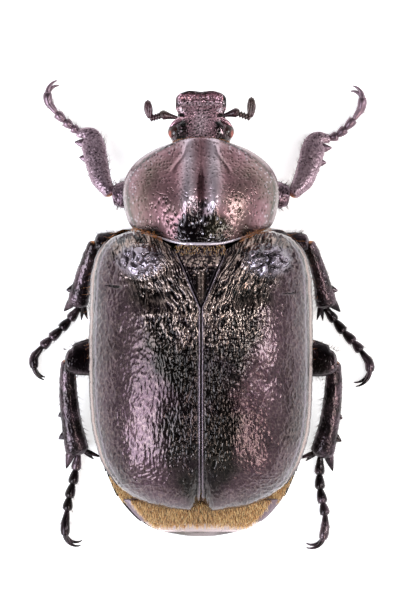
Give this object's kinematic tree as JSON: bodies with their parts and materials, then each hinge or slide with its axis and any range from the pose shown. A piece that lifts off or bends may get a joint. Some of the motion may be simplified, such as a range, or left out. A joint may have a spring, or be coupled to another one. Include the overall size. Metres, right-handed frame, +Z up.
{
  "type": "hermit beetle",
  "caption": "Still, life-size model of a hermit beetle, standing with its legs and feelers spread and its wing cases closed.",
  "frame": {"origin": "on the floor under the middle of the beetle, at the bottom centre of its box", "axes": "+Y towards the head, along the body; +X to the right, seen from above with the head away from the viewer; +Z up"},
  "size_m": [0.0235, 0.0318, 0.0113],
  "materials": {
    "bronze_chitin": "polished dark brown chitin with a bronze and mauve sheen, pitted and wrinkled",
    "head_chitin": "dark brown chitin, densely pitted",
    "dark_chitin": "satin dark brown chitin with sparse golden hairs",
    "leg_chitin": "dark purple-brown chitin, finely pitted, with short reddish bristles",
    "feeler_chitin": "smooth dark reddish-brown chitin",
    "haired_chitin": "short dense golden hairs over brown chitin",
    "eye": "glossy, finely faceted, dark red-brown"
  },
  "bodies": {
    "root": {"neck_shield": "bronze_chitin", "wing_case_left": "bronze_chitin", "wing_case_right": "bronze_chitin", "scutellum": "bronze_chitin", "tail_plate": "bronze_chitin", "tail_segment": "haired_chitin", "thorax": "dark_chitin", "abdomen": "dark_chitin", "head": "head_chitin", "eye_left": "eye", "eye_right": "eye", "antenna_left": "feeler_chitin", "antenna_right": "feeler_chitin", "palp_left": "feeler_chitin", "palp_right": "feeler_chitin", "coxa_front_left": "leg_chitin", "thigh_front_left": "leg_chitin", "shin_front_left": "leg_chitin", "foot_front_left": "leg_chitin", "coxa_front_right": "leg_chitin", "thigh_front_right": "leg_chitin", "shin_front_right": "leg_chitin", "foot_front_right": "leg_chitin", "coxa_middle_left": "leg_chitin", "thigh_middle_left": "leg_chitin", "shin_middle_left": "leg_chitin", "foot_middle_left": "leg_chitin", "coxa_middle_right": "leg_chitin", "thigh_middle_right": "leg_chitin", "shin_middle_right": "leg_chitin", "foot_middle_right": "leg_chitin", "coxa_hind_left": "leg_chitin", "thigh_hind_left": "leg_chitin", "shin_hind_left": "leg_chitin", "foot_hind_left": "leg_chitin", "coxa_hind_right": "leg_chitin", "thigh_hind_right": "leg_chitin", "shin_hind_right": "leg_chitin", "foot_hind_right": "leg_chitin"}
  },
  "joints": []
}
